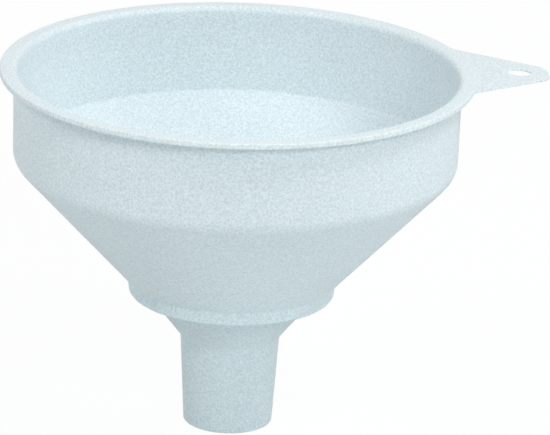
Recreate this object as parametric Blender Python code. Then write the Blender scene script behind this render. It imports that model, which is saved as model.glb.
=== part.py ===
# Wide-bowl funnel with a hanging tab and a lift-out fuel strainer.
# Metres, +Z up. The spout's end stands at z = 0. The origin is below the middle of the
# whole object, tab included, so the funnel's own axis lies a little to the -X side of it.

import math

import bmesh
import bpy
from mathutils import Matrix, Vector

MM = 0.001
GAP = 0.3 * MM  # running gap between pieces that rest on each other
FULL_TURN = 2 * math.pi

# Funnel body: one thin-walled moulding
HEIGHT = 126.0 * MM  # spout end to rim top
WALL = 1.2 * MM
RIM_RADIUS = 80.0 * MM
RIM_THICKNESS = 2.0 * MM
BOWL_TOP_RADIUS = 75.3 * MM  # outside of the upright wall, under the rim
BOWL_FOOT_RADIUS = 75.2 * MM  # the same at the foot of the wall, less its draft
BOWL_DEPTH = 31.1 * MM  # rim top to the corner where the cone starts
RING_RADIUS = 35.6 * MM  # outside of the band that holds the strainer seat
RING_TOP = 51.7 * MM
RING_FOOT = 46.7 * MM
RING_DRAFT = 0.6 * MM
NECK_RADIUS = 29.0 * MM  # where the sump cone leaves the ring's flat underside
SPOUT_TOP_RADIUS = 17.0 * MM
SPOUT_TOP = 31.4 * MM
SPOUT_END_RADIUS = 15.25 * MM

# Rounding of the body's corners
RIM_EDGE_ROUND = 0.5 * MM
RIM_MOUTH_ROUND = 2.0 * MM
UNDER_RIM_ROUND = 0.8 * MM
BOWL_FOOT_ROUND = 3.5 * MM  # outside; the inside is less by the wall
RING_TOP_ROUND = 1.2 * MM
RING_FOOT_ROUND = 1.2 * MM
NECK_TOP_ROUND = 0.8 * MM
NECK_FOOT_ROUND = 2.5 * MM  # outside; the inside is more by the wall
SPOUT_END_ROUND = 0.4 * MM
SEAT_ROUND = 0.5 * MM
WELL_MOUTH_ROUND = 1.0 * MM

# Hanging tab: a thin wedge with a blunt end, carrying the top of the rim outwards and
# a little down
TAB_REACH = 105.5 * MM  # from the funnel's axis
TAB_SLOPE = math.radians(32.4)  # each side's angle to the tab's middle line
TAB_END_HALF_WIDTH = 5.6 * MM  # before its corners are rounded
TAB_CORNER_ROUND = 6.0 * MM
TAB_ROOT_ROUND = 2.0 * MM
TAB_ROOT_RADIUS = 77.5 * MM  # the tab's root lies inside the rim
TAB_DROP = 0.08 * MM  # how far its top lies below the rim's
TAB_THICKNESS = 0.8 * MM
TAB_BEND = 78.5 * MM  # from the axis to the line where it starts to fall
TAB_FALL = math.radians(2.0)
HANG_HOLE_RADIUS = 4.1 * MM
HANG_HOLE_CENTRE = 95.4 * MM

# Strainer insert, which drops into the well below the cone
STRAINER_PLAY = 0.5 * MM  # round the insert, in the well
CUP_RIM_WIDTH = 1.6 * MM
CUP_HEIGHT = 4.4 * MM
SHELF_HEIGHT = 2.0 * MM
SHELF_INNER_RADIUS = 28.6 * MM
HUB_RADIUS = 5.0 * MM
SPOKES = 8
SPOKE_WIDTH = 1.8 * MM
GAUZE_THICKNESS = 0.4 * MM
GAUZE_PITCH = 4.2 * MM
GAUZE_BAR = 0.9 * MM
RETAINER_HEIGHT = 1.3 * MM
RETAINER_WIDTH = 2.4 * MM
STEM_RADIUS = 1.8 * MM
PULL_FLANGE_RADIUS = 4.5 * MM
PULL_FLANGE_HEIGHT = 1.2 * MM
PULL_STEM_LENGTH = 9.0 * MM
PULL_KNOB_RADIUS = 4.6 * MM
PULL_KNOB_HEIGHT = 5.5 * MM
PULL_BARB_RADIUS = 2.7 * MM
PULL_BARB_HEIGHT = 1.6 * MM

# Fineness of the round shapes
BODY_STEPS = 64
STRAINER_STEPS = 48
PULL_STEPS = 20
HOLE_STEPS = 24
CORNER_STEPS = 5
ARC_ERROR = 0.1 * MM  # how far a rounded corner may cut inside its true arc

# Levels and radii that follow from the sizes above
BOWL_FOOT = HEIGHT - BOWL_DEPTH
RIM_UNDERSIDE = HEIGHT - RIM_THICKNESS
SEAT_FLOOR = RING_FOOT + WALL
SEAT_RADIUS = RING_RADIUS - WALL
AXIS_X = -(TAB_REACH - RIM_RADIUS) / 2
TAB_TOP = HEIGHT - TAB_DROP

CUP_RADIUS = SEAT_RADIUS - STRAINER_PLAY
CUP_INNER_RADIUS = CUP_RADIUS - CUP_RIM_WIDTH
CUP_FLOOR = SEAT_FLOOR + GAP
SHELF_TOP = CUP_FLOOR + SHELF_HEIGHT
HOLE_RADIUS = STEM_RADIUS + GAP  # through the hub and the gauze
GAUZE_RADIUS = CUP_INNER_RADIUS - GAP
GAUZE_FLOOR = SHELF_TOP + GAP
GAUZE_TOP = GAUZE_FLOOR + GAUZE_THICKNESS
RETAINER_FLOOR = GAUZE_TOP + GAP
RETAINER_RADIUS = CUP_INNER_RADIUS - GAP
PULL_FLANGE_FLOOR = GAUZE_TOP + GAP
PULL_BARB_TOP = CUP_FLOOR - GAP


def clear_scene():
    for old in list(bpy.data.objects):
        bpy.data.objects.remove(old, do_unlink=True)


def make_material(name, colour, roughness, metallic=0.0):
    material = bpy.data.materials.new(name)
    material.use_nodes = True
    shader = material.node_tree.nodes["Principled BSDF"]
    shader.inputs["Base Color"].default_value = (*colour, 1.0)
    shader.inputs["Roughness"].default_value = roughness
    shader.inputs["Metallic"].default_value = metallic
    return material


def rounded(corners):
    """The closed outline through corners, each (x, y, radius), with its corners as arcs."""
    points = []
    for i, (x, y, radius) in enumerate(corners):
        corner = Vector((x, y))
        back = (Vector(corners[i - 1][:2]) - corner).normalized()
        ahead = (Vector(corners[(i + 1) % len(corners)][:2]) - corner).normalized()
        if radius == 0:
            points.append(corner)
            continue
        half = back.angle(ahead) / 2
        centre = corner + (back + ahead).normalized() * radius / math.sin(half)
        start = corner + back * radius / math.tan(half) - centre
        end = corner + ahead * radius / math.tan(half) - centre
        turn = math.atan2(start.x * end.y - start.y * end.x, start.dot(end))
        widest = 2 * math.acos(1 - ARC_ERROR / radius)
        steps = max(1, round(abs(turn) / widest))
        points += [
            centre + Matrix.Rotation(turn * s / steps, 2) @ start for s in range(steps + 1)
        ]
    return points


def arc(centre, radius, first, last, steps):
    """Points on an arc round centre, from angle first to angle last."""
    angles = [first + (last - first) * s / steps for s in range(steps + 1)]
    return [
        Vector((centre[0] + radius * math.cos(a), centre[1] + radius * math.sin(a)))
        for a in angles
    ]


def inside_corner(before, corner, after, thickness):
    """Where the two walls that meet at corner meet again on their inner faces.
    The outline runs down the outside, so its inside is to the right of each wall."""
    lines = []
    for start, end in ((before, corner), (corner, after)):
        along = (Vector(end) - Vector(start)).normalized()
        inward = Vector((along.y, -along.x))
        lines.append((Vector(start) + inward * thickness, along))
    (p, u), (q, v) = lines
    reach = ((q - p).x * v.y - (q - p).y * v.x) / (u.x * v.y - u.y * v.x)
    return p + u * reach


def add_object(name, mesh_builder, material, parent):
    mesh = bpy.data.meshes.new(name)
    mesh_builder.to_mesh(mesh)
    mesh_builder.free()
    mesh.materials.append(material)
    mesh.shade_smooth()
    mesh.set_sharp_from_angle(angle=math.radians(30))
    piece = bpy.data.objects.new(name, mesh)
    bpy.context.scene.collection.objects.link(piece)
    piece.parent = parent
    return piece


def turned(outline, steps):
    """A bmesh of a (radius, level) outline turned all the way round Z.
    The outline is closed, or else it starts and ends on the axis."""
    shape = bmesh.new()
    ring = [shape.verts.new((p[0], 0.0, p[1])) for p in outline]
    edges = [shape.edges.new(pair) for pair in zip(ring, ring[1:])]
    if outline[0][0] > 0:
        edges.append(shape.edges.new((ring[-1], ring[0])))
    bmesh.ops.spin(
        shape, geom=ring + edges, cent=(0, 0, 0), axis=(0, 0, 1), angle=FULL_TURN,
        steps=steps, use_merge=True,
    )
    bmesh.ops.remove_doubles(shape, verts=shape.verts, dist=0.001 * MM)
    bmesh.ops.recalc_face_normals(shape, faces=shape.faces)
    return shape


def add_prism(shape, outline, low, high):
    """Adds an upright prism over a closed (x, y) outline to a bmesh."""
    floor = shape.faces.new([shape.verts.new((p[0], p[1], low)) for p in outline])
    grown = bmesh.ops.extrude_face_region(shape, geom=[floor])
    tops = [g for g in grown["geom"] if isinstance(g, bmesh.types.BMVert)]
    bmesh.ops.translate(shape, verts=tops, vec=(0, 0, high - low))
    bmesh.ops.recalc_face_normals(shape, faces=shape.faces)


def prism(outline, low, high):
    shape = bmesh.new()
    add_prism(shape, outline, low, high)
    return shape


def hide_tool(tool):
    tool.hide_render = True
    tool.display_type = "WIRE"


def combine(piece, tool, operation):
    """Joins tool to piece or cuts it away, live, and puts the tool out of sight."""
    modifier = piece.modifiers.new(tool.name, "BOOLEAN")
    modifier.operation = operation
    modifier.object = tool
    hide_tool(tool)


def body_outline():
    """Outside of the funnel from rim to spout, then its inside back up to the mouth."""
    wall_top = (BOWL_TOP_RADIUS, RIM_UNDERSIDE)
    wall_foot = (BOWL_FOOT_RADIUS, BOWL_FOOT)
    ring_top = (RING_RADIUS, RING_TOP)
    ring_foot = (RING_RADIUS - RING_DRAFT, RING_FOOT)
    neck_top = (NECK_RADIUS, RING_FOOT)
    spout_top = (SPOUT_TOP_RADIUS, SPOUT_TOP)
    spout_end = (SPOUT_END_RADIUS, 0.0)

    bore_top = inside_corner(neck_top, spout_top, spout_end, WALL)
    sump_top = inside_corner(ring_foot, neck_top, spout_top, WALL)
    inner_foot = inside_corner(wall_top, wall_foot, ring_top, WALL)
    cone_slope = (BOWL_FOOT_RADIUS - RING_RADIUS) / (BOWL_FOOT - RING_TOP)
    well_mouth = inner_foot.y - (inner_foot.x - SEAT_RADIUS) / cone_slope

    return rounded([
        (RIM_RADIUS, HEIGHT, RIM_EDGE_ROUND),
        (RIM_RADIUS, RIM_UNDERSIDE, RIM_EDGE_ROUND),
        (*wall_top, UNDER_RIM_ROUND),
        (*wall_foot, BOWL_FOOT_ROUND),
        (*ring_top, RING_TOP_ROUND),
        (*ring_foot, RING_FOOT_ROUND),
        (*neck_top, NECK_TOP_ROUND),
        (*spout_top, NECK_FOOT_ROUND),
        (*spout_end, SPOUT_END_ROUND),
        (SPOUT_END_RADIUS - WALL, 0.0, SPOUT_END_ROUND),
        (*bore_top, NECK_FOOT_ROUND + WALL),
        (*sump_top, SEAT_ROUND),
        (SEAT_RADIUS, SEAT_FLOOR, SEAT_ROUND),
        (SEAT_RADIUS, well_mouth, WELL_MOUTH_ROUND),
        (*inner_foot, BOWL_FOOT_ROUND - WALL),
        (BOWL_TOP_RADIUS - WALL, HEIGHT, RIM_MOUTH_ROUND),
    ])


def tab_outline():
    """Plan of the hanging tab along +X: blunt end, straight sides, roots swept into the rim."""
    lean, rise = math.sin(TAB_SLOPE), math.cos(TAB_SLOPE)
    side_reach = TAB_REACH * lean + TAB_END_HALF_WIDTH * rise  # from the axis, square to a side
    corner_x = TAB_REACH - TAB_CORNER_ROUND
    corner_y = (side_reach - TAB_CORNER_ROUND - corner_x * lean) / rise
    root_centre_radius = RIM_RADIUS + TAB_ROOT_ROUND
    root_angle = math.asin((side_reach + TAB_ROOT_ROUND) / root_centre_radius) - TAB_SLOPE
    root_centre = Vector((math.cos(root_angle), math.sin(root_angle))) * root_centre_radius
    to_side = math.pi / 2 - TAB_SLOPE  # direction of the upper side's outward normal

    corner = arc((corner_x, corner_y), TAB_CORNER_ROUND, 0, to_side, CORNER_STEPS)
    root = arc(root_centre, TAB_ROOT_ROUND, to_side - math.pi, root_angle - math.pi, CORNER_STEPS)
    end = arc((0, 0), TAB_ROOT_RADIUS, root_angle, 0, CORNER_STEPS)
    upper = corner + root + end[:-1]
    lower = [Vector((p.x, -p.y)) for p in reversed(upper)]
    return upper + [end[-1]] + lower


def bent_tab():
    """The hanging tab, bent down from the line where it leaves the rim."""
    shape = prism(tab_outline(), TAB_TOP - TAB_THICKNESS, TAB_TOP)
    whole = shape.verts[:] + shape.edges[:] + shape.faces[:]
    bmesh.ops.bisect_plane(shape, geom=whole, plane_co=(TAB_BEND, 0, 0), plane_no=(1, 0, 0))
    for vert in shape.verts:
        vert.co.z -= max(0.0, vert.co.x - TAB_BEND) * math.tan(TAB_FALL)
    return shape


def build_funnel_body(axis, material):
    body = add_object("funnel_body", turned(body_outline(), BODY_STEPS), material, axis)
    tab = add_object("tab_blank", bent_tab(), material, axis)
    hole = arc((HANG_HOLE_CENTRE, 0), HANG_HOLE_RADIUS, 0, FULL_TURN, HOLE_STEPS)[:-1]
    drill = add_object(
        "hang_hole_drill",
        prism(hole, RIM_UNDERSIDE - RIM_THICKNESS, HEIGHT + RIM_THICKNESS),
        material,
        axis,
    )
    combine(body, tab, "UNION")
    combine(body, drill, "DIFFERENCE")


def spoke_windows():
    """The gaps between hub, spokes and shelf, as one cutter of separate bodies."""
    shape = bmesh.new()
    inner, outer = HUB_RADIUS, SHELF_INNER_RADIUS
    half_pitch = math.pi / SPOKES
    inner_half = half_pitch - math.asin(SPOKE_WIDTH / 2 / inner)
    outer_half = half_pitch - math.asin(SPOKE_WIDTH / 2 / outer)
    for spoke in range(SPOKES):
        middle = (2 * spoke + 1) * half_pitch
        near = arc((0, 0), inner, middle + inner_half, middle - inner_half, 2)
        far = arc((0, 0), outer, middle - outer_half, middle + outer_half, 6)
        add_prism(shape, near + far, CUP_FLOOR - SHELF_HEIGHT, SHELF_TOP + SHELF_HEIGHT)
    return shape


def build_strainer_base(axis, material):
    """Cup of the strainer: rim, shelf, spokes and hub, moulded in one."""
    cup_top = CUP_FLOOR + CUP_HEIGHT
    outline = rounded([
        (CUP_RADIUS, CUP_FLOOR, SEAT_ROUND),
        (CUP_RADIUS, cup_top, SEAT_ROUND),
        (CUP_INNER_RADIUS, cup_top, 0),
        (CUP_INNER_RADIUS, SHELF_TOP, 0),
        (HOLE_RADIUS, SHELF_TOP, 0),
        (HOLE_RADIUS, CUP_FLOOR, 0),
    ])
    base = add_object("strainer_base", turned(outline, STRAINER_STEPS), material, axis)
    windows = add_object("spoke_windows", spoke_windows(), material, axis)
    combine(base, windows, "DIFFERENCE")


def gauze_gaps():
    """Square gaps of the wire cloth that lie wholly over the open windows."""
    shape = bmesh.new()
    half = (GAUZE_PITCH - GAUZE_BAR) / 2
    count = math.ceil(SHELF_INNER_RADIUS / GAUZE_PITCH)
    for column in range(-count, count + 1):
        for row in range(-count, count + 1):
            x, y = column * GAUZE_PITCH, row * GAUZE_PITCH
            farthest = math.hypot(abs(x) + half, abs(y) + half)
            nearest = math.hypot(max(abs(x) - half, 0), max(abs(y) - half, 0))
            if farthest > SHELF_INNER_RADIUS or nearest < PULL_FLANGE_RADIUS:
                continue
            square = [(x - half, y - half), (x + half, y - half),
                      (x + half, y + half), (x - half, y + half)]
            add_prism(shape, square, GAUZE_FLOOR - GAP, GAUZE_TOP + GAP)
    return shape


def build_strainer_gauze(axis, material):
    outline = [
        (GAUZE_RADIUS, GAUZE_FLOOR),
        (GAUZE_RADIUS, GAUZE_TOP),
        (HOLE_RADIUS, GAUZE_TOP),
        (HOLE_RADIUS, GAUZE_FLOOR),
    ]
    gauze = add_object("strainer_gauze", turned(outline, STRAINER_STEPS), material, axis)
    gaps = add_object("gauze_gaps", gauze_gaps(), material, axis)
    combine(gauze, gaps, "DIFFERENCE")


def build_strainer_retainer(axis, material):
    """Ring pressed into the cup over the edge of the gauze."""
    inner = RETAINER_RADIUS - RETAINER_WIDTH
    top = RETAINER_FLOOR + RETAINER_HEIGHT
    outline = rounded([
        (RETAINER_RADIUS, RETAINER_FLOOR, 0),
        (RETAINER_RADIUS, top, SEAT_ROUND),
        (inner, top, SEAT_ROUND),
        (inner, RETAINER_FLOOR, 0),
    ])
    add_object("strainer_retainer", turned(outline, STRAINER_STEPS), material, axis)


def build_strainer_pull(axis, material):
    """Knob for lifting the strainer, snapped through the gauze and the hub."""
    flange_top = PULL_FLANGE_FLOOR + PULL_FLANGE_HEIGHT
    knob_floor = flange_top + PULL_STEM_LENGTH
    knob_top = knob_floor + PULL_KNOB_HEIGHT
    barb_floor = PULL_BARB_TOP - PULL_BARB_HEIGHT
    outline = rounded([
        (0, barb_floor, 0),
        (STEM_RADIUS, barb_floor, 0),
        (PULL_BARB_RADIUS, PULL_BARB_TOP, 0),
        (STEM_RADIUS, PULL_BARB_TOP, 0),
        (STEM_RADIUS, PULL_FLANGE_FLOOR, 0),
        (PULL_FLANGE_RADIUS, PULL_FLANGE_FLOOR, 0),
        (PULL_FLANGE_RADIUS, flange_top, SEAT_ROUND),
        (STEM_RADIUS, flange_top, STEM_RADIUS / 2),
        (STEM_RADIUS, knob_floor, STEM_RADIUS / 2),
        (PULL_KNOB_RADIUS, knob_floor, PULL_KNOB_RADIUS / 4),
        (PULL_KNOB_RADIUS, knob_top, PULL_KNOB_RADIUS / 3),
        (0, knob_top, 0),
    ])
    add_object("strainer_pull", turned(outline, PULL_STEPS), material, axis)


def main():
    clear_scene()
    axis = bpy.data.objects.new("funnel_axis", None)
    axis.location = (AXIS_X, 0, 0)
    bpy.context.scene.collection.objects.link(axis)

    body_plastic = make_material("pale_polyethylene", (0.745, 0.868, 0.912), 0.45)
    insert_plastic = make_material("white_polyethylene", (0.74, 0.76, 0.75), 0.5)
    brass = make_material("brass_wire_cloth", (0.58, 0.42, 0.16), 0.35, 1.0)

    build_funnel_body(axis, body_plastic)
    build_strainer_base(axis, insert_plastic)
    build_strainer_gauze(axis, brass)
    build_strainer_retainer(axis, insert_plastic)
    build_strainer_pull(axis, insert_plastic)
    bpy.context.view_layer.update()


main()
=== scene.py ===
import math

import bmesh
import bpy
from mathutils import Matrix, Vector


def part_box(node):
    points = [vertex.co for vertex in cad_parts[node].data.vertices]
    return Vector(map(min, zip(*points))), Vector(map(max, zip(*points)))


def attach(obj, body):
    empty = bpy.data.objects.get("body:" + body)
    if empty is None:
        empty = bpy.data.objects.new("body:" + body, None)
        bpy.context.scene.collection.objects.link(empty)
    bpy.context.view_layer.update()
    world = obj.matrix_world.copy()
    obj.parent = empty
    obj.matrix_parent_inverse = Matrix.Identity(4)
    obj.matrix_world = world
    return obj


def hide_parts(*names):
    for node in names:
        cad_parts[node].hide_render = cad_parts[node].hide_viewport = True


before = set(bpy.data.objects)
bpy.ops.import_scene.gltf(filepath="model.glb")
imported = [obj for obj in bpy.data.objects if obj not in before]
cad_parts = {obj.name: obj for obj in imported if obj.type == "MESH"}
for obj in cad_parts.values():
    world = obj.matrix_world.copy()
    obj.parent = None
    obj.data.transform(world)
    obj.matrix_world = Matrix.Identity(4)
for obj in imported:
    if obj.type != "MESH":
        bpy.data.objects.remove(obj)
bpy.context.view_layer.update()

mm = 0.001
fullTurn = 2 * math.pi
scene = bpy.context.scene

bodyLow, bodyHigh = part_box("funnel_body")
rimRadius = (bodyHigh.y - bodyLow.y) / 2 / mm  # sizes below are in millimetres
rimTop = bodyHigh.z / mm
axisX = bodyLow.x / mm + rimRadius  # the funnel's own axis stands beside the origin
tabReach = bodyHigh.x / mm - axisX
print(f"frame loaded: {len(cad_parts)} solids, rim {2 * rimRadius:.1f} mm, height {rimTop:.1f} mm")


# shared modelling steps

weld = 0.002 * mm  # points nearer than this become one
roundingTurn = math.radians(9)  # turned by each short edge of a rounding
fewestSteps = 2


def outline(shape, corners, closed=True):
    # corners are (radius, level, rounding); the roundings are vertex bevels of the wire
    points = [shape.verts.new((r * mm, 0, z * mm)) for r, z, _ in corners]
    for pair in zip(points, points[1:]):
        shape.edges.new(pair)
    if closed:
        shape.edges.new((points[-1], points[0]))
    roundings = []
    for i, (_, _, rounding) in enumerate(corners):
        if rounding:
            back = points[i - 1].co - points[i].co
            ahead = points[(i + 1) % len(points)].co - points[i].co
            inner = back.angle(ahead)
            reach = rounding * mm / math.tan(inner / 2)
            steps = max(fewestSteps, round((math.pi - inner) / roundingTurn))
            roundings.append((points[i], reach, steps))
    for point, reach, steps in roundings:
        bmesh.ops.bevel(shape, geom=[point], offset=reach, offset_type="OFFSET", segments=steps,
                        profile=0.5, affect="VERTICES", material=-1)


def splitLongEdges(shape, longest):
    for edge in shape.edges[:]:
        cuts = int(edge.calc_length() / (longest * mm))
        if cuts:
            bmesh.ops.subdivide_edges(shape, edges=[edge], cuts=cuts)


def turnRound(shape, steps):
    bmesh.ops.spin(shape, geom=shape.verts[:] + shape.edges[:], cent=(0, 0, 0), axis=(0, 0, 1),
                   angle=fullTurn, steps=steps, use_merge=True)
    closeAndFaceOut(shape)


def closeAndFaceOut(shape):
    bmesh.ops.remove_doubles(shape, verts=shape.verts, dist=weld)
    bmesh.ops.recalc_face_normals(shape, faces=shape.faces)


def bevelSharp(shape, width, steps, leastTurn=60):
    sharp = [e for e in shape.edges if e.is_manifold and e.calc_face_angle() > math.radians(leastTurn)]
    bmesh.ops.bevel(shape, geom=sharp, offset=width * mm, offset_type="OFFSET", segments=steps,
                    profile=0.5, affect="EDGES", material=-1, clamp_overlap=True)


def around(radius, turn, level):
    return Vector((radius * math.cos(turn), radius * math.sin(turn), level)) * mm


def toObject(name, shape):
    bmesh.ops.translate(shape, verts=shape.verts, vec=(axisX * mm, 0, 0))
    mesh = bpy.data.meshes.new(name)
    shape.to_mesh(mesh)
    shape.free()
    piece = bpy.data.objects.new(name, mesh)
    scene.collection.objects.link(piece)
    return piece


def combine(piece, tool):
    # joins the tool to the piece for good, then drops the tool
    step = piece.modifiers.new("join", "BOOLEAN")
    step.operation = "UNION"
    step.solver = "EXACT"
    step.object = tool
    bpy.context.view_layer.update()
    done = bpy.data.meshes.new_from_object(piece.evaluated_get(bpy.context.evaluated_depsgraph_get()))
    piece.modifiers.clear()
    old = piece.data
    done.name = old.name
    piece.data = done
    bpy.data.meshes.remove(old)
    bpy.data.objects.remove(tool)


def finishPiece(piece, material, body, node, sharpAngle=35):
    piece.data.materials.clear()
    piece.data.materials.append(material)
    piece.data.shade_smooth()
    piece.data.set_sharp_from_angle(angle=math.radians(sharpAngle))
    weighted = piece.modifiers.new("flat faces stay flat", "WEIGHTED_NORMAL")
    weighted.keep_sharp = True
    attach(piece, body)
    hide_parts(node)
    print(f"{piece.name}: {len(piece.data.polygons)} faces")


# materials

class NodeSheet:
    # a short way to add and wire shader nodes
    def __init__(self, name):
        self.material = bpy.data.materials.new(name)
        self.material.use_nodes = True
        self.tree = self.material.node_tree
        self.shader = self.tree.nodes["Principled BSDF"]
        self.place = self.tree.nodes.new("ShaderNodeTexCoord").outputs["Object"]

    def noise(self, size, detail):
        node = self.tree.nodes.new("ShaderNodeTexNoise")
        node.inputs["Scale"].default_value = 1 / (size * mm)
        node.inputs["Detail"].default_value = detail
        self.tree.links.new(self.place, node.inputs["Vector"])
        return node.outputs["Fac"]

    def spread(self, value, low, high, fromLow=0.3, fromHigh=0.7):
        # maps a value to low..high; noise mostly stays between the two limits given as defaults
        node = self.tree.nodes.new("ShaderNodeMapRange")
        node.inputs["From Min"].default_value = fromLow
        node.inputs["From Max"].default_value = fromHigh
        node.inputs["To Min"].default_value = low
        node.inputs["To Max"].default_value = high
        self.tree.links.new(value, node.inputs["Value"])
        return node.outputs["Result"]

    def level(self):
        node = self.tree.nodes.new("ShaderNodeSeparateXYZ")
        self.tree.links.new(self.place, node.inputs["Vector"])
        return node.outputs["Z"]

    def join(self, how, first, second):
        node = self.tree.nodes.new("ShaderNodeMath")
        node.operation = how
        self.tree.links.new(first, node.inputs[0])
        self.tree.links.new(second, node.inputs[1])
        return node.outputs["Value"]

    def shade(self, colour, factor):
        node = self.tree.nodes.new("ShaderNodeVectorMath")
        node.operation = "SCALE"
        node.inputs[0].default_value = colour
        self.tree.links.new(factor, node.inputs["Scale"])
        return node.outputs["Vector"]

    def bump(self, height, strength, depth):
        node = self.tree.nodes.new("ShaderNodeBump")
        node.inputs["Strength"].default_value = strength
        node.inputs["Distance"].default_value = depth * mm
        self.tree.links.new(height, node.inputs["Height"])
        self.tree.links.new(node.outputs["Normal"], self.shader.inputs["Normal"])

    def feed(self, value, socket):
        self.tree.links.new(value, self.shader.inputs[socket])

    def set(self, **values):
        for socket, value in values.items():
            self.shader.inputs[socket.replace("_", " ")].default_value = value


def moulded(name, look):
    sheet = NodeSheet(name)
    grain = sheet.noise(look["grainSize"], look["grainDetail"])
    cloud = sheet.noise(look["cloudSize"], look["cloudDetail"])
    tone = sheet.join(
        "MULTIPLY",
        sheet.spread(grain, 1 - look["grain"], 1 + look["grain"]),
        sheet.spread(cloud, 1 - look["cloud"], 1 + look["cloud"]),
    )
    sheet.feed(sheet.shade(look["colour"], tone), "Base Color")
    rough, patchy = look["roughness"], look["roughnessSpread"]
    sheet.feed(sheet.spread(grain, rough - patchy, rough + patchy), "Roughness")
    sheet.bump(grain, look["bump"], look["bumpDepth"])
    sheet.set(IOR=look["refraction"], Specular_IOR_Level=look["shine"],
              Subsurface_Weight=look["translucency"], Subsurface_Scale=look["scatter"] * mm,
              Subsurface_Radius=look["scatterTint"])
    if "thick" in look:
        band = look["thick"]
        level = sheet.level()
        thin = look["translucency"]
        thick = thin * band["share"]
        foot, top, fade = band["foot"] * mm, band["top"] * mm, band["fade"] * mm
        below = sheet.spread(level, thin, thick, foot - fade, foot)
        above = sheet.spread(level, thick, thin, top, top + fade)
        sheet.feed(sheet.join("MAXIMUM", above, below), "Subsurface Weight")
    return sheet.material


palePolyethylene = moulded("pale polyethylene", {
    "colour": (0.755, 0.868, 0.912),
    "grainSize": 0.7, "grainDetail": 1.5, "grain": 0.14,  # fine frosted grain of the mould face
    "cloudSize": 35.0, "cloudDetail": 2.0, "cloud": 0.012,
    "roughness": 0.5, "roughnessSpread": 0.05, "refraction": 1.51, "shine": 0.12,
    "bump": 0.2, "bumpDepth": 0.05,
    "translucency": 0.5, "scatter": 4.0, "scatterTint": (1.3, 1.0, 0.9),
    "thick": {"foot": 46.4, "top": 52.6, "fade": 1.6, "share": 0.05},  # the step lets less light through
})

whitePolyethylene = moulded("white polyethylene", {
    "colour": (0.74, 0.77, 0.76),
    "grainSize": 0.6, "grainDetail": 1.5, "grain": 0.015,
    "cloudSize": 14.0, "cloudDetail": 2.0, "cloud": 0.015,
    "roughness": 0.4, "roughnessSpread": 0.05, "refraction": 1.51, "shine": 0.4,
    "bump": 0.08, "bumpDepth": 0.03,
    "translucency": 0.25, "scatter": 2.0, "scatterTint": (1.0, 1.0, 1.0),
})


def wireBrass(name, look):
    sheet = NodeSheet(name)
    tarnish = sheet.noise(look["tarnishSize"], look["tarnishDetail"])
    drawn = sheet.noise(look["drawSize"], look["drawDetail"])
    tone = sheet.join(
        "MULTIPLY",
        sheet.spread(tarnish, look["tarnishShade"], 1.0),
        sheet.spread(drawn, look["drawShade"], 1.0),
    )
    sheet.feed(sheet.shade(look["colour"], tone), "Base Color")
    sheet.feed(sheet.spread(tarnish, look["dullRoughness"], look["brightRoughness"]), "Roughness")
    sheet.set(Metallic=1.0)
    return sheet.material


brassWire = wireBrass("brass wire", {
    "colour": (0.72, 0.52, 0.2),
    "tarnishSize": 7.0, "tarnishDetail": 3.0, "tarnishShade": 0.72,
    "drawSize": 0.2, "drawDetail": 1.0, "drawShade": 0.9,  # marks of the die
    "dullRoughness": 0.5, "brightRoughness": 0.28,
})


# funnel body: bowl, cone, strainer seat, sump and spout in one thin wall

bodySizes = {  # outside radii, and levels above the end of the spout
    "wall": 1.2,
    "rimThickness": 2.0, "rimEdgeRound": 0.5, "rimMouthRound": 2.0, "underRimRound": 0.8,
    "bowlTop": 75.3, "bowlFoot": 75.2, "bowlDepth": 31.1,
    "bowlRound": 6.0, "bowlRoundInside": 1.0,  # a soft turn outside, a crisp one inside
    "ring": 35.6, "ringTop": 51.7, "ringFoot": 46.7, "ringDraft": 0.6,
    "ringTopRound": 1.2, "ringFootRound": 1.2,
    "neck": 29.0, "neckTopRound": 0.8, "neckFootRound": 2.5,
    "spoutTop": 17.0, "spoutTopLevel": 31.4, "spoutEnd": 15.25, "spoutEdgeRound": 0.45,
    "seatRound": 0.5, "wellMouthRound": 1.0,
    "steps": 240, "longestEdge": 3.0,
}


def innerCorner(before, corner, after, wall):
    # where the inner faces of two walls meet; the outline runs down the outside
    lines = []
    for start, end in ((before, corner), (corner, after)):
        along = (Vector(end) - Vector(start)).normalized()
        lines.append((Vector(start) + Vector((along.y, -along.x)) * wall, along))
    (p, u), (q, v) = lines
    return p + u * ((q - p).cross(v) / u.cross(v))


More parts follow.
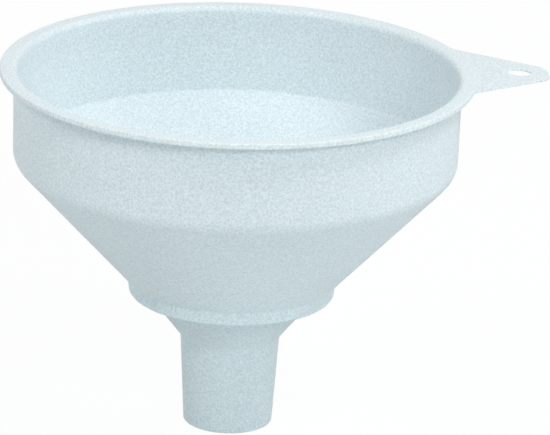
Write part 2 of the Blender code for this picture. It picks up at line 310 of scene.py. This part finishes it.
def makeFunnelShell(s):
    rimUnderside = rimTop - s["rimThickness"]
    wallTop = (s["bowlTop"], rimUnderside)
    wallFoot = (s["bowlFoot"], rimTop - s["bowlDepth"])
    ringTop = (s["ring"], s["ringTop"])
    ringFoot = (s["ring"] - s["ringDraft"], s["ringFoot"])
    neckTop = (s["neck"], s["ringFoot"])
    spoutTop = (s["spoutTop"], s["spoutTopLevel"])
    spoutEnd = (s["spoutEnd"], 0.0)

    wall = s["wall"]
    boreTop = innerCorner(neckTop, spoutTop, spoutEnd, wall)
    sumpTop = innerCorner(ringFoot, neckTop, spoutTop, wall)
    innerFoot = innerCorner(wallTop, wallFoot, ringTop, wall)
    seat = s["ring"] - wall
    coneSlope = (wallFoot[0] - ringTop[0]) / (wallFoot[1] - ringTop[1])
    wellMouth = innerFoot.y - (innerFoot.x - seat) / coneSlope

    shape = bmesh.new()
    outline(shape, [
        (rimRadius, rimTop, s["rimEdgeRound"]),
        (rimRadius, rimUnderside, s["rimEdgeRound"]),
        (*wallTop, s["underRimRound"]),
        (*wallFoot, s["bowlRound"]),
        (*ringTop, s["ringTopRound"]),
        (*ringFoot, s["ringFootRound"]),
        (*neckTop, s["neckTopRound"]),
        (*spoutTop, s["neckFootRound"]),
        (*spoutEnd, s["spoutEdgeRound"]),
        (s["spoutEnd"] - wall, 0.0, s["spoutEdgeRound"]),
        (*boreTop, s["neckFootRound"] + wall),
        (*sumpTop, s["seatRound"]),
        (seat, s["ringFoot"] + wall, s["seatRound"]),
        (seat, wellMouth, s["wellMouthRound"]),
        (*innerFoot, s["bowlRoundInside"]),
        (s["bowlTop"] - wall, rimTop, s["rimMouthRound"]),
    ])
    splitLongEdges(shape, s["longestEdge"])
    turnRound(shape, s["steps"])
    return toObject("funnelBody", shape)


tabSizes = {
    "slope": 32.4,  # degrees, each side to the middle line
    "endHalfWidth": 5.6, "cornerRound": 6.0, "cornerSteps": 12,
    "rootRadius": 77.4, "rootRound": 2.0, "rootSteps": 10,
    "drop": 0.08, "thickness": 0.8, "edge": 0.36, "edgeSteps": 4,
    "bend": 78.5, "fall": 2.0,  # carries the rim's top outwards and, past the bend, a little down
    "holeCentre": 95.4, "holeRadius": 4.1, "holeSteps": 56,
}


def makeTab(s):
    slope = math.radians(s["slope"])
    low = rimTop - s["drop"] - s["thickness"]

    # the root's round touches both the straight side and the rim's circle
    sideReach = tabReach * math.sin(slope) + s["endHalfWidth"] * math.cos(slope)
    away = rimRadius + s["rootRound"]
    rootTurn = math.asin((sideReach + s["rootRound"]) / away) - slope
    sweep = math.pi / 2 - slope - rootTurn

    shape = bmesh.new()
    halves = []
    for side in (-1, 1):
        inner = shape.verts.new(around(s["rootRadius"], side * rootTurn, low))
        touch = shape.verts.new(around(rimRadius, side * rootTurn, low))
        end = shape.verts.new(Vector((tabReach, side * s["endHalfWidth"], low)) * mm)
        shape.edges.new((inner, touch))
        swept = bmesh.ops.spin(shape, geom=[touch], cent=around(away, side * rootTurn, low),
                               axis=(0, 0, side), angle=sweep, steps=s["rootSteps"])
        last = [g for g in swept["geom_last"] if isinstance(g, bmesh.types.BMVert)][0]
        shape.edges.new((last, end))
        halves.append((inner, end))
    (lowerRoot, lowerEnd), (_, upperEnd) = halves
    shape.edges.new((lowerEnd, upperEnd))

    # an arc inside the rim closes the root
    bmesh.ops.spin(shape, geom=[lowerRoot], cent=(0, 0, low * mm), axis=(0, 0, 1),
                   angle=2 * rootTurn, steps=s["rootSteps"] * 2)
    bmesh.ops.remove_doubles(shape, verts=shape.verts, dist=weld)

    reach = s["cornerRound"] / math.tan(math.pi / 4 + slope / 2)
    for corner in (lowerEnd, upperEnd):
        bmesh.ops.bevel(shape, geom=[corner], offset=reach * mm, offset_type="OFFSET",
                        segments=s["cornerSteps"], profile=0.5, affect="VERTICES", material=-1)
    bmesh.ops.create_circle(shape, segments=s["holeSteps"], radius=s["holeRadius"] * mm,
                            matrix=Matrix.Translation(around(s["holeCentre"], 0, low)))
    bmesh.ops.triangle_fill(shape, use_beauty=True, edges=shape.edges[:], normal=(0, 0, 1))
    plate = bmesh.ops.extrude_face_region(shape, geom=shape.faces[:])
    tops = [g for g in plate["geom"] if isinstance(g, bmesh.types.BMVert)]
    bmesh.ops.translate(shape, verts=tops, vec=(0, 0, s["thickness"] * mm))
    closeAndFaceOut(shape)
    bevelSharp(shape, s["edge"], s["edgeSteps"])
    whole = shape.verts[:] + shape.edges[:] + shape.faces[:]
    bmesh.ops.bisect_plane(shape, geom=whole, plane_co=(s["bend"] * mm, 0, 0), plane_no=(1, 0, 0))
    for vert in shape.verts:
        vert.co.z -= max(0, vert.co.x - s["bend"] * mm) * math.tan(math.radians(s["fall"]))
    return toObject("tabBlank", shape)


funnelBody = makeFunnelShell(bodySizes)
combine(funnelBody, makeTab(tabSizes))
finishPiece(funnelBody, palePolyethylene, "funnel", "funnel_body")


# strainer: moulded cup, woven gauze, press-in ring and pull knob

baseLow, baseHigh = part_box("strainer_base")
cupRadius = (baseHigh.y - baseLow.y) / 2 / mm
cupFloor = baseLow.z / mm
cupTop = baseHigh.z / mm

cupSizes = {
    "rimWidth": 1.6, "shelfHeight": 2.0, "shelfInner": 28.6,
    "edge": 0.35, "tightEdge": 0.2,  # roundings
    "hub": 5.0, "hubHole": 2.1,
    "spokes": 8, "spokeWidth": 1.8, "spokeHeight": 1.7, "spokeEdge": 0.3, "spokeEdgeSteps": 3,
    "spokeLift": 0.15, "spokeOverlap": 0.8,  # above the cup's floor, and into shelf and hub
    "steps": 160, "hubSteps": 64,
}


def makeCup(s):
    shelfTop = cupFloor + s["shelfHeight"]
    cupInner = cupRadius - s["rimWidth"]
    shape = bmesh.new()
    outline(shape, [
        (cupRadius, cupFloor, s["edge"]),
        (cupRadius, cupTop, s["edge"]),
        (cupInner, cupTop, s["edge"]),
        (cupInner, shelfTop, s["tightEdge"]),
        (s["shelfInner"], shelfTop, s["edge"]),
        (s["shelfInner"], cupFloor, s["edge"]),
    ])
    turnRound(shape, s["steps"])
    cup = toObject("strainerBase", shape)

    hub = bmesh.new()
    outline(hub, [
        (s["hub"], cupFloor, s["edge"]),
        (s["hub"], shelfTop, s["edge"]),
        (s["hubHole"], shelfTop, s["tightEdge"]),
        (s["hubHole"], cupFloor, s["tightEdge"]),
    ])
    turnRound(hub, s["hubSteps"])

    middle = cupFloor + s["spokeLift"] + s["spokeHeight"] / 2
    reach = (s["hub"] + s["shelfInner"]) / 2
    length = s["shelfInner"] - s["hub"] + 2 * s["spokeOverlap"]
    arms = bmesh.new()
    for i in range(s["spokes"]):
        place = Matrix.Rotation(fullTurn * i / s["spokes"], 4, "Z")
        place @= Matrix.Translation(Vector((reach, 0, middle)) * mm)
        place @= Matrix.Diagonal((length * mm, s["spokeWidth"] * mm, s["spokeHeight"] * mm, 1))
        bmesh.ops.create_cube(arms, size=1, matrix=place)
    bevelSharp(arms, s["spokeEdge"], s["spokeEdgeSteps"])
    spokes = toObject("spokes", arms)
    combine(spokes, toObject("hub", hub))
    combine(cup, spokes)
    return cup


finishPiece(makeCup(cupSizes), whitePolyethylene, "strainer", "strainer_base")


gauzeLow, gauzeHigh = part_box("strainer_gauze")

gauzeSizes = {
    "pitch": 1.5, "wire": 0.2,  # centre to centre, and across one wire
    "margin": 0.3, "hole": 2.1,  # left free at the disc's edge, and the radius round the stem
    "sides": 5, "cutsPerCrossing": 4, "sharpAngle": 60,
}


def weaveWire(s, offset, start, end, across, phase):
    # one straight wire, then its length is waved over and under the ones it crosses
    middle = (gauzeLow.z + gauzeHigh.z) / 2 / mm
    length = end - start
    crossings = round(length / s["pitch"])
    lie = Matrix.Translation(Vector(((start + end) / 2, offset, middle)) * mm)
    lie @= Matrix.Rotation(math.pi / 2, 4, "Y")
    wire = bmesh.new()
    bmesh.ops.create_cone(wire, cap_ends=True, segments=s["sides"], depth=length * mm,
                          radius1=s["wire"] / 2 * mm, radius2=s["wire"] / 2 * mm, matrix=lie)
    lengthwise = [e for e in wire.edges if e.calc_length() > length * mm / 2]
    bmesh.ops.subdivide_edges(wire, edges=lengthwise, cuts=crossings * s["cutsPerCrossing"] - 1)
    for vert in wire.verts:
        wave = math.cos(math.pi * (vert.co.x / mm / s["pitch"] + phase))
        vert.co.z += wave * s["wire"] / 2 * mm
    if across:
        bmesh.ops.rotate(wire, verts=wire.verts, cent=(0, 0, 0),
                         matrix=Matrix.Rotation(math.pi / 2, 3, "Z"))
    return wire


def makeGauze(s):
    radius = (gauzeHigh.y - gauzeLow.y) / 2 / mm - s["margin"]
    count = int((radius - s["pitch"] / 2) / s["pitch"])
    shape = bmesh.new()
    for across in (False, True):
        for i in range(-count, count + 1):
            offset = i * s["pitch"]
            half = math.sqrt(radius ** 2 - offset ** 2)
            stretches = [(-half, half)]
            if abs(offset) < s["hole"]:
                gap = math.sqrt(s["hole"] ** 2 - offset ** 2)
                stretches = [(-half, -gap), (gap, half)]
            for start, end in stretches:
                wire = weaveWire(s, offset, start, end, across, i + across)
                strand = bpy.data.meshes.new("strand")
                wire.to_mesh(strand)
                wire.free()
                shape.from_mesh(strand)
                bpy.data.meshes.remove(strand)
    bmesh.ops.recalc_face_normals(shape, faces=shape.faces)
    return toObject("strainerGauze", shape)


finishPiece(makeGauze(gauzeSizes), brassWire, "strainer", "strainer_gauze",
            gauzeSizes["sharpAngle"])


retainerLow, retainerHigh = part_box("strainer_retainer")
retainerSizes = {"width": 2.4, "footRound": 0.15, "crownRound": 0.55, "steps": 160}


def makeRetainer(s):
    outer = (retainerHigh.y - retainerLow.y) / 2 / mm
    inner = outer - s["width"]
    low, high = retainerLow.z / mm, retainerHigh.z / mm
    shape = bmesh.new()
    outline(shape, [
        (outer, low, s["footRound"]),
        (outer, high, s["crownRound"]),
        (inner, high, s["crownRound"]),
        (inner, low, s["footRound"]),
    ])
    turnRound(shape, s["steps"])
    return toObject("strainerRetainer", shape)


finishPiece(makeRetainer(retainerSizes), whitePolyethylene, "strainer", "strainer_retainer")


pullLow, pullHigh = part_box("strainer_pull")
pullSizes = {
    "stem": 1.8, "stemLength": 9.0, "stemRound": 1.4,
    "barb": 2.7, "barbHeight": 1.6, "barbRound": 0.15, "tipRound": 0.3,
    "stemFootRound": 0.1,  # where the stem meets the barb and the flange
    "clearance": 0.3,  # flange above the gauze
    "flange": 4.5, "flangeHeight": 1.2, "flangeFootRound": 0.2, "flangeRound": 0.5,
    "knobFootRound": 1.3, "knobRound": 1.6,
    "dishRim": 0.55, "dishFloor": 0.35, "dishDepth": 0.5, "dishRound": 0.8,  # first two are shares
    "steps": 72,
}


def makePull(s):
    knob = (pullHigh.y - pullLow.y) / 2 / mm
    low, high = pullLow.z / mm, pullHigh.z / mm
    barbTop = low + s["barbHeight"]
    flangeLow = gauzeHigh.z / mm + s["clearance"]
    flangeHigh = flangeLow + s["flangeHeight"]
    knobLow = flangeHigh + s["stemLength"]
    dishLow = high - s["dishDepth"]
    shape = bmesh.new()
    outline(shape, [
        (0, low, 0),
        (s["stem"], low, s["tipRound"]),
        (s["barb"], barbTop, s["barbRound"]),
        (s["stem"], barbTop, s["stemFootRound"]),
        (s["stem"], flangeLow, s["stemFootRound"]),
        (s["flange"], flangeLow, s["flangeFootRound"]),
        (s["flange"], flangeHigh, s["flangeRound"]),
        (s["stem"], flangeHigh, s["stemRound"]),
        (s["stem"], knobLow, s["stemRound"]),
        (knob, knobLow, s["knobFootRound"]),
        (knob, high, s["knobRound"]),
        (knob * s["dishRim"], high, s["dishRound"]),
        (knob * s["dishFloor"], dishLow, s["dishRound"]),
        (0, dishLow, 0),
    ], closed=False)
    turnRound(shape, s["steps"])
    return toObject("strainerPull", shape)


finishPiece(makePull(pullSizes), whitePolyethylene, "strainer", "strainer_pull")


# floor, light and camera

def seenDirectly(tree):
    # 1 for what the camera, a mirror or glass sees, 0 for light that falls on the funnel
    path = tree.nodes.new("ShaderNodeLightPath")
    seen = path.outputs["Is Camera Ray"]
    for other in ("Is Glossy Ray", "Is Transmission Ray"):
        node = tree.nodes.new("ShaderNodeMath")
        node.operation = "MAXIMUM"
        tree.links.new(seen, node.inputs[0])
        tree.links.new(path.outputs[other], node.inputs[1])
        seen = node.outputs["Value"]
    return seen


floorSet = {
    "size": 12.0, "below": 0.3, "roughness": 0.9,  # metres across, mm under the spout
    "colour": (0.92, 1.0, 1.01), "bounce": 0.75,  # what it throws back up at the funnel
    "white": 0.95,  # how far the floor that is seen glows white over its shadows
}


def makeFloor(s):
    shape = bmesh.new()
    bmesh.ops.create_grid(shape, x_segments=1, y_segments=1, size=s["size"] / 2,
                          matrix=Matrix.Translation((0, 0, -s["below"] * mm)))
    mesh = bpy.data.meshes.new("floor")
    shape.to_mesh(mesh)
    shape.free()
    floor = bpy.data.objects.new("floor", mesh)
    scene.collection.objects.link(floor)
    sheet = NodeSheet("pale floor")
    seen = seenDirectly(sheet.tree)
    sheet.feed(sheet.shade(s["colour"], sheet.spread(seen, s["bounce"], 1.0, 0, 1)), "Base Color")
    sheet.set(Roughness=s["roughness"])
    nodes, links = sheet.tree.nodes, sheet.tree.links
    white = nodes.new("ShaderNodeEmission")
    share = nodes.new("ShaderNodeMath")
    share.operation = "MULTIPLY"
    share.inputs[1].default_value = s["white"]
    links.new(seen, share.inputs[0])
    blend = nodes.new("ShaderNodeMixShader")
    links.new(share.outputs["Value"], blend.inputs["Fac"])
    links.new(sheet.shader.outputs["BSDF"], blend.inputs[1])
    links.new(white.outputs["Emission"], blend.inputs[2])
    links.new(blend.outputs["Shader"], nodes["Material Output"].inputs["Surface"])
    mesh.materials.append(sheet.material)


lightSet = {
    "world": 0.31, "worldSeen": 1.0,  # light from all round, and the white behind the funnel
    "distance": 1.7, "aimLevel": 0.7,  # metres, and a share of the rim's height
    "lamps": {  # turn from the tab and height in degrees, size in metres, watts
        "key": {"turn": -70, "height": 30, "size": 0.45, "power": 9.1},
        "high": {"turn": -30, "height": 58, "size": 0.45, "power": 6.7},
        "left": {"turn": -165, "height": 40, "size": 0.9, "power": 7.4},
        "right": {"turn": 20, "height": 40, "size": 0.9, "power": 4.7},
    },
}


def makeLights(s):
    world = bpy.data.worlds.new("studio")
    world.use_nodes = True
    tree = world.node_tree
    level = tree.nodes.new("ShaderNodeMix")
    level.inputs["A"].default_value = s["world"]
    level.inputs["B"].default_value = s["worldSeen"]
    tree.links.new(seenDirectly(tree), level.inputs["Factor"])
    tree.nodes["Background"].inputs["Color"].default_value = (1, 1, 1, 1)
    tree.links.new(level.outputs["Result"], tree.nodes["Background"].inputs["Strength"])
    scene.world = world

    aim = Vector((axisX, 0, rimTop * s["aimLevel"])) * mm
    for name, place in s["lamps"].items():
        lamp = bpy.data.lights.new(name, "AREA")
        lamp.shape = "DISK"
        lamp.size = place["size"]
        lamp.energy = place["power"]
        head = bpy.data.objects.new(name, lamp)
        turn, height = math.radians(place["turn"]), math.radians(place["height"])
        flat = math.cos(height)
        away = Vector((flat * math.cos(turn), flat * math.sin(turn), math.sin(height)))
        head.location = aim + away * s["distance"]
        head.rotation_euler = (-away).to_track_quat("-Z", "Y").to_euler()
        scene.collection.objects.link(head)


cameraSet = {
    "from": -95.5,  # degrees round the funnel's axis, the tab at 0
    "back": 1283.66, "above": 398.07,  # mm from the middle of the rim's top
    "aimAside": 14.07, "aimBelow": 52.34,  # the point of the axis plane at the picture's middle
    "roll": 2.036, "focalPixels": 4000, "pictureWidth": 550, "sensor": 36.0,
    "farthest": 100.0,  # metres
}


def makeCamera(s):
    turn = Matrix.Rotation(math.radians(s["from"] + 90), 4, "Z")
    rimCentre = Vector((axisX, 0, rimTop)) * mm
    place = rimCentre + turn @ (Vector((0, -s["back"], s["above"])) * mm)
    aim = rimCentre + turn @ (Vector((s["aimAside"], 0, -s["aimBelow"])) * mm)
    lens = bpy.data.cameras.new("camera")
    lens.sensor_width = s["sensor"]
    lens.lens = s["focalPixels"] / s["pictureWidth"] * s["sensor"]
    lens.clip_end = s["farthest"]
    camera = bpy.data.objects.new("camera", lens)
    look = (aim - place).to_track_quat("-Z", "Y").to_matrix().to_4x4()
    roll = Matrix.Rotation(math.radians(s["roll"]), 4, "Z")
    camera.matrix_world = Matrix.Translation(place) @ look @ roll
    scene.collection.objects.link(camera)
    scene.camera = camera


makeFloor(floorSet)
makeLights(lightSet)
makeCamera(cameraSet)
scene.view_settings.view_transform = "Standard"
print("floor, light and camera set")
